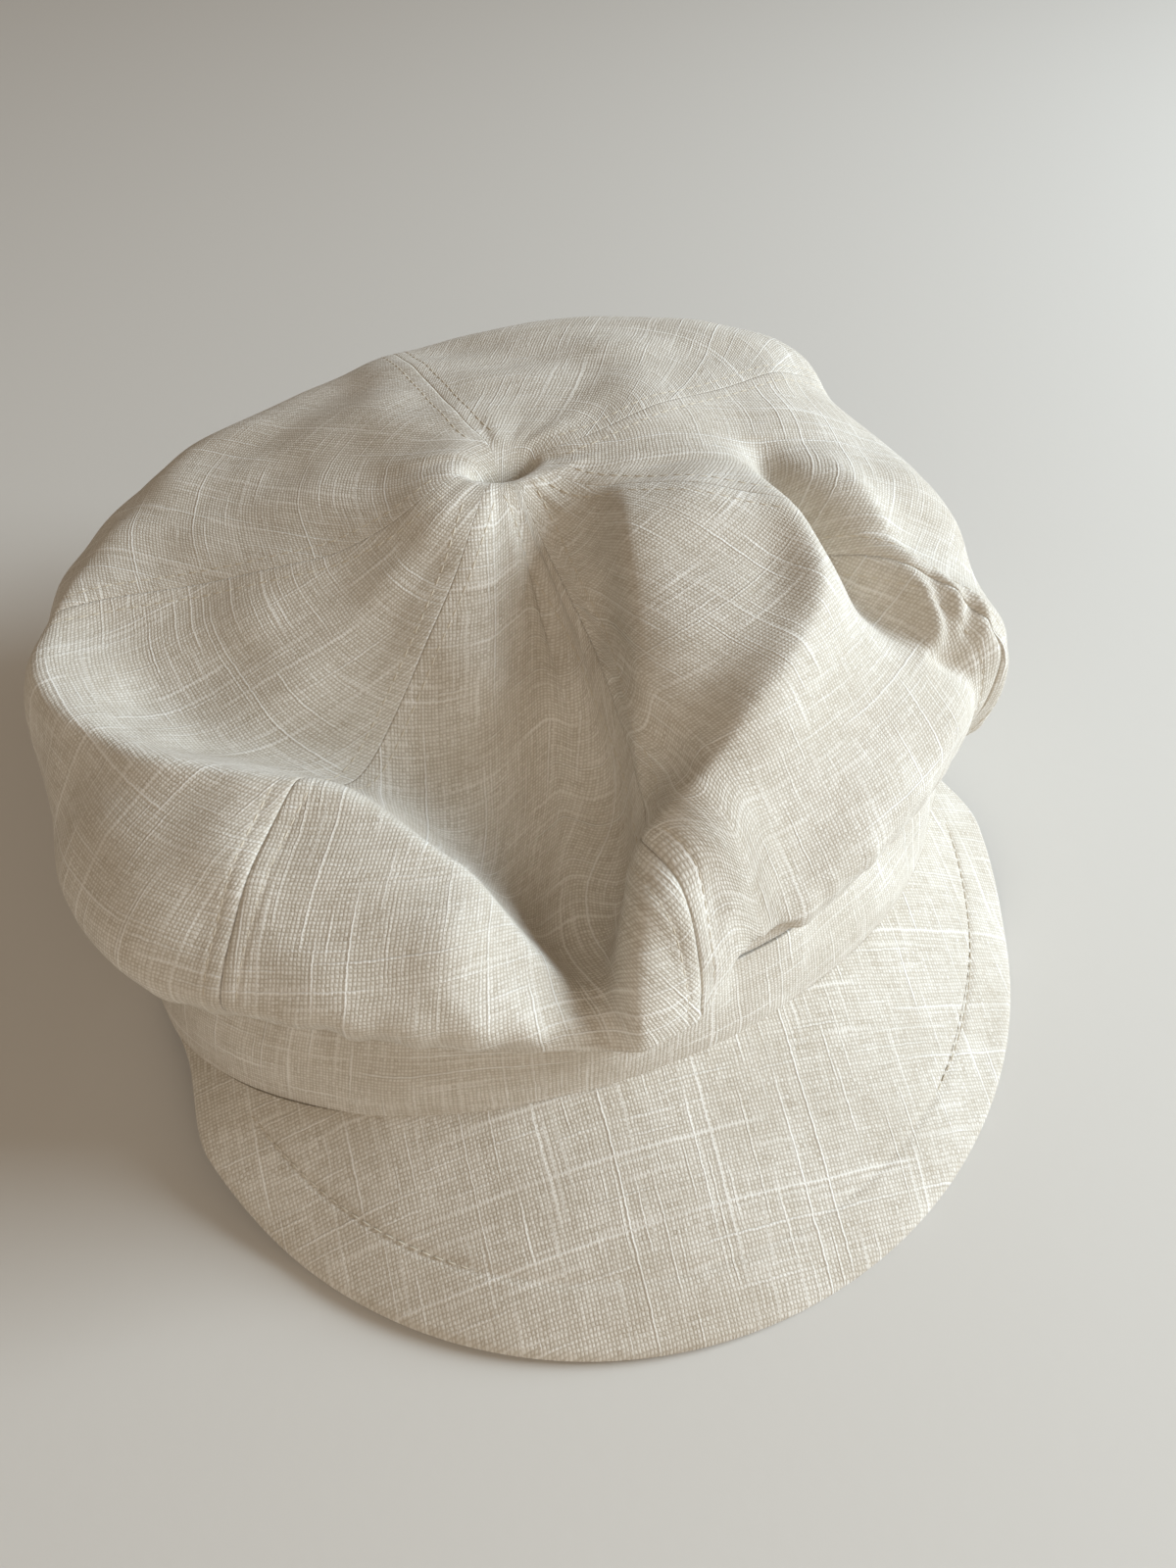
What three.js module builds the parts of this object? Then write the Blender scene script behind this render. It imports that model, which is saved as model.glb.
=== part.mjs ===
// Soft peaked cap in slub linen: a six-panel baker-boy crown, a plain band and a stitched visor.
// It lies by itself on a surface: the back of the band and the visor's front edge touch it.
// Millimetres, +Z up, the front of the cap towards -Y, origin at the bottom centre of its box.

import * as THREE from 'three';

// Band, as it lies spread on the surface
const BAND_HALF_WIDTH = 108;
const BAND_HALF_LENGTH = 80;
const BAND_HEIGHT = 27;
const BAND_WALL = 3;
const FRONT_LIFT = 25; // the visor holds the front of the band this far off the surface
const FLAT_REACH = 28; // the band lies flat behind this distance ahead of its centre, to the back
const LIFT_CURVE = 1.2;

// Crown
const CLOTH_WALL = 2;
const CROWN_TOP = 107;
const CROWN_OVERHANG = 50;
const TUCK_DEPTH = 4;
const TUCK_RISE = 4;
const TOP_CENTRE_X = 5;
const TOP_CENTRE_Y = 35;
const DIMPLE_RADIUS = 10;
const DIMPLE_DEPTH = 15;
const DIMPLE_RIM_DROP = 2;
const DIMPLE_STRETCH = 1.35;
const DIMPLE_WELL = { radius: 0.12, neckRadius: 0.4, neckDepth: 0.4 }; // shares of the dimple
const FOLD_DEPTH = 9;
const FOLD_WIDTH = 10;
const FOLD_BLEND = 6;

// Visor
const VISOR_RADIUS = 110;
const VISOR_FORWARD = 20;
const VISOR_SPAN = 92;
const VISOR_WALL = 3;
const VISOR_SEAM_RISE = 1;
const VISOR_DROOP = 1.15;
const VISOR_TOUCH = 58; // the visor's edge lies on the surface within this angle of the front

// Running gap between sewn pieces
const PIECE_GAP = 0.3;

// Fineness of the faceted walls
const PANEL_ROWS = 22;
const BAND_SECTIONS = 72;
const VISOR_COLUMNS = 36;
const VISOR_ROWS = 6;
const MERIDIAN_STEPS = 160;
const FOLD_STEPS = 32;
const SLOPE_STEP = 0.004;
const AZIMUTH_STEP = 1;

// Rows of a table as objects that carry the columns' names
function table(columns, ...rows) {
  return rows.map((row) => Object.fromEntries(columns.map((column, i) => [column, row[i]])));
}

// Crown sections by azimuth about the top centre: 0 is the front, positive towards +X.
// over is the bulge's share of CROWN_OVERHANG past the band. The other radii are shares of the
// bulge's radius. Heights are shares of the way from the band's top to CROWN_TOP.
const CROWN_SECTIONS = table(
  ['azimuth', 'over', 'bulge', 'crestR', 'crest', 'troughR', 'trough', 'midR', 'mid'],
  [-160, 0.96, 0.57, 0.83, 0.79, 0.65, 0.85, 0.42, 0.92],
  [-140, 0.96, 0.56, 0.86, 0.76, 0.66, 0.82, 0.42, 0.89],
  [-120, 0.82, 0.54, 0.87, 0.72, 0.67, 0.77, 0.40, 0.85],
  [-97, 0.43, 0.50, 0.95, 0.66, 0.75, 0.65, 0.39, 0.79],
  [-75, 0.09, 0.44, 0.83, 0.68, 0.66, 0.55, 0.36, 0.75],
  [-60, 0.06, 0.36, 0.71, 0.65, 0.55, 0.46, 0.31, 0.71],
  [-48, 0.02, 0.33, 0.67, 0.60, 0.53, 0.36, 0.30, 0.69],
  [-30, 0.00, 0.24, 0.76, 0.47, 0.62, 0.22, 0.33, 0.63],
  [-20, -0.03, 0.13, 0.89, 0.25, 0.75, 0.11, 0.37, 0.59],
  [-14, -0.05, 0.09, 0.93, 0.14, 0.80, 0.09, 0.39, 0.59],
  [-8, -0.06, 0.08, 0.93, 0.12, 0.80, 0.08, 0.40, 0.59],
  [5, -0.08, 0.15, 0.86, 0.40, 0.68, 0.51, 0.41, 0.69],
  [20, -0.08, 0.25, 0.77, 0.60, 0.59, 0.74, 0.36, 0.86],
  [35, -0.06, 0.37, 0.71, 0.73, 0.55, 0.83, 0.36, 0.93],
  [52, 0.00, 0.51, 0.73, 0.78, 0.56, 0.88, 0.35, 0.97],
  [72, 0.03, 0.70, 0.80, 0.87, 0.58, 0.93, 0.35, 0.99],
  [92, 0.32, 0.74, 0.82, 0.90, 0.63, 0.95, 0.39, 0.99],
  [112, 0.78, 0.74, 0.83, 0.92, 0.64, 0.96, 0.41, 0.99],
  [130, 0.96, 0.70, 0.83, 0.90, 0.65, 0.95, 0.40, 0.97],
  [150, 0.99, 0.65, 0.83, 0.86, 0.63, 0.91, 0.41, 0.95],
  [180, 0.98, 0.60, 0.84, 0.82, 0.66, 0.89, 0.43, 0.93],
);

// How far the crown droops out over the band before it turns in to its seam, in TUCK_DEPTH
const CROWN_TUCKS = table(
  ['azimuth', 'out'],
  [-140, 2.0],
  [-100, 1.2],
  [-60, 0.5],
  [-30, 0.4],
  [0, 0.4],
  [25, 0.0],
  [45, 0.25],
  [70, 0.75],
  [110, 1.6],
  [180, 2.0],
);

// Sharp folds on the crown. x is a share of BAND_HALF_WIDTH, y of BAND_HALF_LENGTH, rise of the
// fold's depth, which is a share of FOLD_DEPTH. left and right are shares of FOLD_WIDTH, as seen
// going along the fold.
const CROWN_FOLDS = [
  { name: 'front ridge', depth: 1.0, left: 1.5, right: 1.3, crisp: 2.0, path: table(
    ['x', 'y', 'rise'],
    [0.59, 0.28, 0.0],
    [0.54, 0.05, 0.8],
    [0.46, -0.30, 1.0],
    [0.32, -0.46, 1.0],
    [0.18, -0.56, 0.9],
    [0.05, -0.68, 0.8],
    [-0.05, -0.79, 0.6],
    [-0.12, -0.89, 0.2],
    [-0.16, -0.98, 0.0],
  ) },
  { name: 'front valley', depth: -0.8, left: 1.5, right: 1.3, crisp: 1.8, path: table(
    ['x', 'y', 'rise'],
    [0.07, 0.37, 0.0],
    [0.07, 0.25, 0.8],
    [0.03, 0.04, 1.0],
    [-0.06, -0.20, 1.0],
    [-0.12, -0.38, 0.9],
    [-0.16, -0.58, 0.5],
    [-0.20, -0.78, 0.2],
    [-0.22, -0.92, 0.0],
  ) },
  { name: 'inner ridge', depth: 0.4, left: 1.2, right: 1.2, crisp: 1.8, path: table(
    ['x', 'y', 'rise'],
    [0.25, 0.22, 0.0],
    [0.19, 0.04, 0.9],
    [0.16, -0.16, 1.0],
    [0.11, -0.34, 0.9],
    [0.06, -0.52, 0.0],
  ) },
  { name: 'inner valley', depth: -0.4, left: 1.1, right: 1.1, crisp: 1.8, path: table(
    ['x', 'y', 'rise'],
    [0.35, 0.22, 0.0],
    [0.37, 0.04, 0.9],
    [0.39, -0.11, 1.0],
    [0.33, -0.28, 0.8],
    [0.22, -0.45, 0.0],
  ) },
  { name: 'right valley', depth: -0.6, left: 1.1, right: 1.1, crisp: 1.8, path: table(
    ['x', 'y', 'rise'],
    [0.62, 0.22, 0.0],
    [0.59, 0.01, 0.9],
    [0.61, -0.15, 1.0],
    [0.65, -0.30, 0.8],
    [0.67, -0.48, 0.0],
  ) },
  { name: 'right ridge', depth: 0.45, left: 1.1, right: 1.1, crisp: 1.8, path: table(
    ['x', 'y', 'rise'],
    [0.71, 0.22, 0.0],
    [0.71, -0.05, 0.8],
    [0.71, -0.21, 1.0],
    [0.79, -0.35, 1.0],
    [0.90, -0.48, 0.4],
  ) },
  { name: 'right corner', depth: 0.55, left: 1.0, right: 1.0, crisp: 1.8, path: table(
    ['x', 'y', 'rise'],
    [0.80, -0.32, 0.0],
    [0.91, -0.45, 1.0],
    [1.00, -0.55, 1.0],
  ) },
];

// The crown's panels, and the seam that each starts at: the seam's azimuths near the top, half way
// and at the band. columns is the fineness of the panel, more where it is folded.
const CROWN_PANELS = table(
  ['name', 'top', 'middle', 'foot', 'columns'],
  ['left_back', -180, -180, -174, 7],
  ['left', -86, -105, -96, 9],
  ['left_front', -44, -53, -49, 12],
  ['right_front', 1, -1, -2, 17],
  ['right', 48, 52, 47, 11],
  ['right_back', 95, 99, 96, 7],
);

const FULL_TURN = 360;
const CREAM_LINEN = { color: 0xe3dcc9, roughness: 0.92, metalness: 0.0 };

const radians = THREE.MathUtils.degToRad;
const smooth = THREE.MathUtils.smoothstep;

// One column of an azimuth table at any azimuth, with a smooth turn round the whole cap
function around(rows, column, azimuth) {
  const turned = THREE.MathUtils.euclideanModulo(azimuth - rows[0].azimuth, FULL_TURN);
  const at = (index) => {
    const lap = Math.floor(index / rows.length);
    const row = rows[index - lap * rows.length];
    return { place: row.azimuth - rows[0].azimuth + lap * FULL_TURN, value: row[column] };
  };
  let index = 0;
  while (at(index + 1).place <= turned) index += 1;
  const [before, from, to, after] = [index - 1, index, index + 1, index + 2].map(at);
  const slope = (a, b) => (b.value - a.value) / (b.place - a.place);
  const level = (s, t) => (s * t > 0 ? (2 * s * t) / (s + t) : 0);
  const span = to.place - from.place;
  const k = (turned - from.place) / span;
  const start = level(slope(before, from), slope(from, to)) * span;
  const end = level(slope(from, to), slope(to, after)) * span;
  const rise = to.value - from.value;
  return from.value + k * (start + k * (3 * rise - 2 * start - end + k * (start + end - 2 * rise)));
}

// Height of the band's bottom edge, from its place front to back
function bandBottom(y) {
  const reach = FLAT_REACH + BAND_HALF_LENGTH;
  return FRONT_LIFT * Math.max(0, (FLAT_REACH - y) / reach) ** LIFT_CURVE;
}

const bandTop = (y) => bandBottom(y) + BAND_HEIGHT;

// Distance from the crown's top centre to the band's outer face
function bandRadius(azimuth) {
  const [dx, dy] = [Math.sin(radians(azimuth)), -Math.cos(radians(azimuth))];
  const [w, l] = [BAND_HALF_WIDTH ** 2, BAND_HALF_LENGTH ** 2];
  const a = dx ** 2 / w + dy ** 2 / l;
  const b = 2 * (TOP_CENTRE_X * dx / w + TOP_CENTRE_Y * dy / l);
  const c = TOP_CENTRE_X ** 2 / w + TOP_CENTRE_Y ** 2 / l - 1;
  return (-b + Math.sqrt(b * b - 4 * a * c)) / (2 * a);
}

// The crown's outer face along one azimuth, from the dimple over the top and in to the band's top
function crownMeridian(azimuth) {
  const seat = bandRadius(azimuth);
  const top = bandTop(TOP_CENTRE_Y - Math.cos(radians(azimuth)) * seat);
  const bulge = seat + around(CROWN_SECTIONS, 'over', azimuth) * CROWN_OVERHANG;
  const across = Math.sin(radians(azimuth)) / DIMPLE_STRETCH;
  const along = Math.cos(radians(azimuth)) * DIMPLE_STRETCH;
  const slit = 1 / Math.hypot(across, along);
  const radius = (column) => around(CROWN_SECTIONS, column, azimuth) * bulge;
  const height = (column) => THREE.MathUtils.lerp(top, CROWN_TOP, around(CROWN_SECTIONS, column, azimuth));
  const rim = CROWN_TOP - DIMPLE_RIM_DROP;
  const tuck = around(CROWN_TUCKS, 'out', azimuth) * TUCK_DEPTH;
  const points = [
    [DIMPLE_WELL.radius * DIMPLE_RADIUS * slit, rim - DIMPLE_DEPTH],
    [DIMPLE_WELL.neckRadius * DIMPLE_RADIUS * slit, rim - DIMPLE_WELL.neckDepth * DIMPLE_DEPTH],
    [DIMPLE_RADIUS * Math.sqrt(slit), rim],
    [radius('midR'), height('mid')],
    [radius('troughR'), height('trough')],
    [radius('crestR'), height('crest')],
    [bulge, height('bulge')],
    [seat + tuck, top + TUCK_RISE],
    [seat - (BAND_WALL - CLOTH_WALL) / 2, top + PIECE_GAP],
  ].map(([r, z]) => new THREE.Vector3(r, 0, z));
  const curve = new THREE.CatmullRomCurve3(points, false, 'centripetal');
  curve.arcLengthDivisions = MERIDIAN_STEPS;
  return curve;
}

// Signed rise that the folds add at one place seen from above
function foldRise(x, y) {
  let rise = 0;
  for (const fold of foldCurves) {
    let nearest = { distance: Infinity };
    for (let i = 0; i < FOLD_STEPS; i += 1) {
      const [a, b] = [fold.points[i], fold.points[i + 1]];
      const [vx, vy] = [b.x - a.x, b.y - a.y];
      const length = Math.hypot(vx, vy);
      const share = THREE.MathUtils.clamp(((x - a.x) * vx + (y - a.y) * vy) / length ** 2, 0, 1);
      const [dx, dy] = [x - a.x - share * vx, y - a.y - share * vy];
      const distance = Math.hypot(dx, dy);
      if (distance < nearest.distance) {
        const side = (vx * dy - vy * dx) / length;
        nearest = { distance, side, height: THREE.MathUtils.lerp(a.z, b.z, share) };
      }
    }
    const lean = smooth(nearest.side, -FOLD_BLEND, FOLD_BLEND);
    const width = FOLD_WIDTH * THREE.MathUtils.lerp(fold.right, fold.left, lean);
    rise += fold.depth * FOLD_DEPTH * nearest.height * Math.exp(-((nearest.distance / width) ** fold.crisp));
  }
  return rise;
}

const foldCurves = CROWN_FOLDS.map((fold) => {
  const points = fold.path.map(({ x, y, rise }) => (
    new THREE.Vector3(x * BAND_HALF_WIDTH, y * BAND_HALF_LENGTH, rise)
  ));
  return { ...fold, points: new THREE.CatmullRomCurve3(points).getPoints(FOLD_STEPS) };
});

// Meridians are shared by the columns of points that lie on them
const meridians = new Map();
function meridianAt(azimuth) {
  if (!meridians.has(azimuth)) meridians.set(azimuth, crownMeridian(azimuth));
  return meridians.get(azimuth);
}

// The crown's smooth outer face before its sharp folds
function crownBase(azimuth, share) {
  const { x: radius, z } = meridianAt(azimuth).getPointAt(THREE.MathUtils.clamp(share, 0, 1));
  const place = radians(azimuth);
  return new THREE.Vector3(
    TOP_CENTRE_X + radius * Math.sin(place),
    TOP_CENTRE_Y - radius * Math.cos(place),
    z,
  );
}

// Outward direction of a face, from its slope over a small step each way
function outward(place, azimuth, share) {
  const along = place(azimuth, share + SLOPE_STEP).sub(place(azimuth, share - SLOPE_STEP));
  const across = place(azimuth + AZIMUTH_STEP, share).sub(place(azimuth - AZIMUTH_STEP, share));
  return along.cross(across).normalize();
}

// The crown's outer face with its folds, which fade at the band and at the dimple
const FOLD_FADE_AT_SEAM = 0.07;
const FOLD_FADE_AT_DIMPLE = [0.6, 1.6];

function crownFace(azimuth, share) {
  const point = crownBase(azimuth, share);
  const radius = Math.hypot(point.x - TOP_CENTRE_X, point.y - TOP_CENTRE_Y) / DIMPLE_RADIUS;
  const fade = smooth(1 - share, 0, FOLD_FADE_AT_SEAM) * smooth(radius, ...FOLD_FADE_AT_DIMPLE);
  if (fade === 0) return point;
  const rise = foldRise(point.x, point.y) * fade;
  return point.addScaledVector(outward(crownBase, azimuth, share), rise);
}

// The wall's inner face, which turns level where it meets the band
const TURN_AT_SEAM = 0.06;

function crownInside(azimuth, share) {
  const level = smooth(share, 1 - TURN_AT_SEAM, 1);
  const inward = outward(crownFace, azimuth, share).negate();
  const place = radians(azimuth);
  inward.lerp(new THREE.Vector3(-Math.sin(place), Math.cos(place), 0), level).normalize();
  const point = crownFace(azimuth, share).addScaledVector(inward, CLOTH_WALL);
  const seat = bandTop(point.y) + PIECE_GAP;
  point.z = THREE.MathUtils.lerp(point.z, seat, smooth(share, 1 - SLOPE_STEP, 1));
  return point;
}

// Azimuth of a seam at a share of the way from the dimple to the band
const SEAM_MIDDLE = 0.55;

function seamAzimuth(seam, share) {
  const upper = THREE.MathUtils.lerp(seam.top, seam.middle, smooth(share, 0, SEAM_MIDDLE));
  return THREE.MathUtils.lerp(upper, seam.foot, smooth(share, SEAM_MIDDLE, 1));
}

// A closed wall from two grids of points of one size, outer and inner, with its four edges
function wallBetween(outer, inner, closedRound = false) {
  const [columns, rows] = [outer.length, outer[0].length];
  const positions = [...outer.flat(), ...inner.flat()].flatMap((point) => [point.x, point.y, point.z]);
  const faces = [];
  const at = (side, column, row) => (side * columns + (column % columns)) * rows + row;
  const quad = (a, b, c, d) => faces.push(a, b, c, a, c, d);
  const lastColumn = closedRound ? columns : columns - 1;
  for (let i = 0; i < lastColumn; i += 1) {
    for (let j = 0; j < rows - 1; j += 1) {
      quad(at(0, i, j), at(0, i, j + 1), at(0, i + 1, j + 1), at(0, i + 1, j));
      quad(at(1, i, j), at(1, i + 1, j), at(1, i + 1, j + 1), at(1, i, j + 1));
    }
    quad(at(0, i, 0), at(0, i + 1, 0), at(1, i + 1, 0), at(1, i, 0));
    quad(at(0, i, rows - 1), at(1, i, rows - 1), at(1, i + 1, rows - 1), at(0, i + 1, rows - 1));
  }
  if (!closedRound) {
    const end = columns - 1;
    for (let j = 0; j < rows - 1; j += 1) {
      quad(at(0, 0, j), at(1, 0, j), at(1, 0, j + 1), at(0, 0, j + 1));
      quad(at(0, end, j), at(0, end, j + 1), at(1, end, j + 1), at(1, end, j));
    }
  }
  const geometry = new THREE.BufferGeometry();
  geometry.setAttribute('position', new THREE.Float32BufferAttribute(positions, 3));
  geometry.setIndex(faces);
  geometry.computeVertexNormals();
  return geometry;
}

function linenMesh(name, geometry) {
  const mesh = new THREE.Mesh(geometry, new THREE.MeshStandardMaterial(CREAM_LINEN));
  mesh.name = name;
  return mesh;
}

// One gore of the crown, between two seams, from the dimple to the band's top
function crownPanel(index) {
  const from = CROWN_PANELS[index];
  const next = CROWN_PANELS[(index + 1) % CROWN_PANELS.length];
  const lap = index + 1 === CROWN_PANELS.length ? FULL_TURN : 0;
  const [outer, inner] = [[], []];
  for (let i = 0; i <= from.columns; i += 1) {
    const outerColumn = [];
    const innerColumn = [];
    for (let j = 0; j <= PANEL_ROWS; j += 1) {
      const share = j / PANEL_ROWS;
      const start = seamAzimuth(from, share);
      const end = seamAzimuth(next, share) + lap;
      const near = crownBase((start + end) / 2, share);
      const radius = Math.hypot(near.x - TOP_CENTRE_X, near.y - TOP_CENTRE_Y);
      const gap = THREE.MathUtils.radToDeg(PIECE_GAP / 2 / radius);
      const azimuth = THREE.MathUtils.lerp(start + gap, end - gap, i / from.columns);
      outerColumn.push(crownFace(azimuth, share));
      innerColumn.push(crownInside(azimuth, share));
    }
    outer.push(outerColumn);
    inner.push(innerColumn);
  }
  return linenMesh(`crown_panel_${from.name}`, wallBetween(outer, inner));
}

// The band: an upright strip sewn into an oval ring
function band() {
  const ring = (inset) => {
    const columns = [];
    for (let i = 0; i < BAND_SECTIONS; i += 1) {
      const turn = (i / BAND_SECTIONS) * 2 * Math.PI;
      const x = (BAND_HALF_WIDTH - inset) * Math.sin(turn);
      const y = -(BAND_HALF_LENGTH - inset) * Math.cos(turn);
      columns.push([new THREE.Vector3(x, y, bandTop(y)), new THREE.Vector3(x, y, bandBottom(y))]);
    }
    return columns;
  };
  return linenMesh('band', wallBetween(ring(0), ring(BAND_WALL), true));
}

// The visor: a stiff crescent from the band's front bottom edge down to the surface
function visor() {
  const [upper, lower] = [[], []];
  for (let i = 0; i <= VISOR_COLUMNS; i += 1) {
    const turn = radians(VISOR_SPAN * (2 * i / VISOR_COLUMNS - 1));
    const edge = new THREE.Vector2(
      VISOR_RADIUS * Math.sin(turn),
      -VISOR_FORWARD - VISOR_RADIUS * Math.cos(turn),
    );
    const place = Math.atan2(edge.x / BAND_HALF_WIDTH, -edge.y / BAND_HALF_LENGTH);
    const seam = new THREE.Vector2(
      (BAND_HALF_WIDTH + PIECE_GAP) * Math.sin(place),
      -(BAND_HALF_LENGTH + PIECE_GAP) * Math.cos(place),
    );
    const seamHeight = bandBottom(seam.y) + VISOR_SEAM_RISE;
    const edgeHeight = seamHeight * smooth(Math.abs(turn), radians(VISOR_TOUCH), radians(VISOR_SPAN));
    const upperColumn = [];
    const lowerColumn = [];
    for (let j = 0; j <= VISOR_ROWS; j += 1) {
      const share = j / VISOR_ROWS;
      const spot = seam.clone().lerp(edge, share);
      const bottom = THREE.MathUtils.lerp(seamHeight, edgeHeight, share ** VISOR_DROOP);
      upperColumn.push(new THREE.Vector3(spot.x, spot.y, bottom + VISOR_WALL));
      lowerColumn.push(new THREE.Vector3(spot.x, spot.y, bottom));
    }
    upper.push(upperColumn);
    lower.push(lowerColumn);
  }
  return linenMesh('visor', wallBetween(upper, lower));
}

const cap = new THREE.Group();
for (let i = 0; i < CROWN_PANELS.length; i += 1) cap.add(crownPanel(i));
cap.add(band(), visor());

// The origin goes to the bottom centre of the cap's box
const box = new THREE.Box3().setFromObject(cap, true);
const centre = box.getCenter(new THREE.Vector3());
cap.position.set(-centre.x, -centre.y, -box.min.z);

export default cap;
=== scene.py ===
"""Soft peaked cap in cream slub linen, lying on a pale floor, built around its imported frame."""

import math

import bmesh
import bpy
import numpy as np
from mathutils import Matrix, Vector


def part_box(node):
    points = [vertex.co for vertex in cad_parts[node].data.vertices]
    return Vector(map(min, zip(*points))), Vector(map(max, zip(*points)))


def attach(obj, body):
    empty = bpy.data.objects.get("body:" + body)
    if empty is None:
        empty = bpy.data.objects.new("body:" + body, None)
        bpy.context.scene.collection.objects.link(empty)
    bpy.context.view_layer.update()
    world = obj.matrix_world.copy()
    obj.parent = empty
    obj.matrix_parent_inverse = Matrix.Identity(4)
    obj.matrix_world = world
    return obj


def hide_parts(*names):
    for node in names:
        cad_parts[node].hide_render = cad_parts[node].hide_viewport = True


bl_info = {
    "name": "Slub linen cap",
    "version": (1, 0, 0),
    "blender": (4, 5, 0),
    "location": "3D View > Sidebar > Cap",
    "description": "Sews a soft six-panel cap with a band and a stitched visor, and sets its stage",
    "category": "Add Mesh",
}

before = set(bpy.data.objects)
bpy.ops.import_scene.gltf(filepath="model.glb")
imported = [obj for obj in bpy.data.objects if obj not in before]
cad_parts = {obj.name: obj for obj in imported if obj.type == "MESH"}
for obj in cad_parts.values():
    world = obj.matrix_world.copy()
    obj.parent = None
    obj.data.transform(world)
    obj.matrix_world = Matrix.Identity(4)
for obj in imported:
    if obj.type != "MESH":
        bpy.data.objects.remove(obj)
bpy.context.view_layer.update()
BODY = "root"
MM = 0.001
BAND_LOW, BAND_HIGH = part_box("band")
BAND_MIDDLE = (BAND_LOW + BAND_HIGH) / 2 * Vector((1, 1, 0))


def table(columns, *rows):
    """Rows of a table as one array for each named column."""
    return {name: np.array(values, float) for name, values in zip(columns.split(), zip(*rows))}


# Crown sections by azimuth about the top centre: 0 is the front, positive towards +X. over is the
# bulge's share of the overhang past the band. The other radii are shares of the bulge's radius, and
# heights are shares of the way from the band's top to the crown's.
CROWN_SECTIONS = table(
    "azimuth over bulge crest_r crest trough_r trough mid_r mid",
    (-160, 0.96, 0.57, 0.83, 0.79, 0.65, 0.85, 0.42, 0.92),
    (-140, 0.96, 0.56, 0.86, 0.76, 0.66, 0.82, 0.42, 0.89),
    (-120, 0.82, 0.54, 0.87, 0.72, 0.67, 0.77, 0.40, 0.85),
    (-97, 0.43, 0.50, 0.95, 0.66, 0.75, 0.65, 0.39, 0.79),
    (-75, 0.09, 0.44, 0.83, 0.68, 0.66, 0.55, 0.36, 0.75),
    (-60, 0.06, 0.36, 0.71, 0.65, 0.55, 0.46, 0.31, 0.71),
    (-48, 0.02, 0.33, 0.67, 0.60, 0.53, 0.36, 0.30, 0.69),
    (-30, 0.00, 0.24, 0.76, 0.47, 0.62, 0.22, 0.33, 0.63),
    (-20, -0.03, 0.11, 0.90, 0.22, 0.75, 0.11, 0.37, 0.59),
    (-14, -0.05, 0.04, 0.95, 0.07, 0.80, 0.06, 0.39, 0.59),
    (-8, -0.06, 0.12, 0.91, 0.23, 0.78, 0.09, 0.40, 0.59),
    (-2, -0.07, 0.15, 0.88, 0.36, 0.73, 0.26, 0.40, 0.63),
    (5, -0.08, 0.15, 0.86, 0.40, 0.68, 0.51, 0.41, 0.69),
    (20, -0.08, 0.25, 0.77, 0.60, 0.59, 0.74, 0.36, 0.86),
    (35, -0.06, 0.37, 0.71, 0.73, 0.55, 0.83, 0.36, 0.93),
    (52, -0.04, 0.54, 0.75, 0.78, 0.57, 0.88, 0.35, 0.97),
    (72, -0.04, 0.74, 0.81, 0.88, 0.58, 0.93, 0.35, 0.99),
    (92, 0.25, 0.75, 0.82, 0.90, 0.63, 0.95, 0.39, 0.99),
    (112, 0.78, 0.74, 0.83, 0.92, 0.64, 0.96, 0.41, 0.99),
    (130, 0.96, 0.70, 0.83, 0.90, 0.65, 0.95, 0.40, 0.97),
    (150, 0.99, 0.65, 0.83, 0.86, 0.63, 0.91, 0.41, 0.95),
    (180, 0.98, 0.60, 0.84, 0.82, 0.66, 0.89, 0.43, 0.93),
)

# The crown's lip over the band: how far it stands out and how high it is over the band's top, as
# shares of the tuck's depth and rise. It droops at the front and is pinched in to the right of that.
CROWN_TUCKS = table(
    "azimuth out rise",
    (-140, 2.0, 1.0), (-100, 1.2, 1.3), (-78, 0.7, 1.9), (-60, 0.4, 1.5), (-46, 0.4, 1.0),
    (-31, 0.5, 0.3),
    (-21, 0.7, -0.1), (-12, 0.8, -0.7), (-6, 0.7, -0.5), (-2, 0.4, 0.6), (1.5, -0.3, 1.5),
    (4, -1.0, 2.0), (6.5, -0.3, 1.6), (10, 0.5, 1.1), (15, 0.5, 1.0), (25, 0.4, 1.0), (45, 0.4, 1.0),
    (70, 0.75, 1.0), (110, 1.6, 1.0), (180, 2.0, 1.0),
)

# How far the band's top leans in, as a share of the band's height, by the crown's azimuth
BAND_LEANS = table(
    "azimuth lean",
    (-150, 0.0), (-110, 0.0), (-80, 0.11), (-60, 0.26), (-46, 0.33), (-31, 0.27), (-21, 0.16),
    (-11, 0.06), (-6, 0.05), (-2, 0.11), (2, 0.20), (8, 0.19), (15, 0.24), (26, 0.28), (45, 0.15),
    (70, 0.04), (100, 0.0),
)

# How crisp the edge is that the cloth folds over along its crest
EDGE_CRISPNESS = table(
    "azimuth crisp",
    (-125, 0), (-105, 0.6), (-80, 0.9), (-50, 1.0), (-32, 1.0), (-22, 0.7), (-14, 0.0), (0, 0),
)

# How full the thin roll is that the crown's seam makes over the band
LIP_FULLNESS = table(
    "azimuth full",
    (-80, 0), (-62, 0.7), (-56, 1.0), (-50, 0.5), (-46, 1.2), (-42, 0.4), (-36, 0.9), (-20, 0.8),
    (-8, 0.7), (2, 0.2), (12, 0.5), (60, 0.5), (90, 0.2), (180, 0.2),
)

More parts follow.
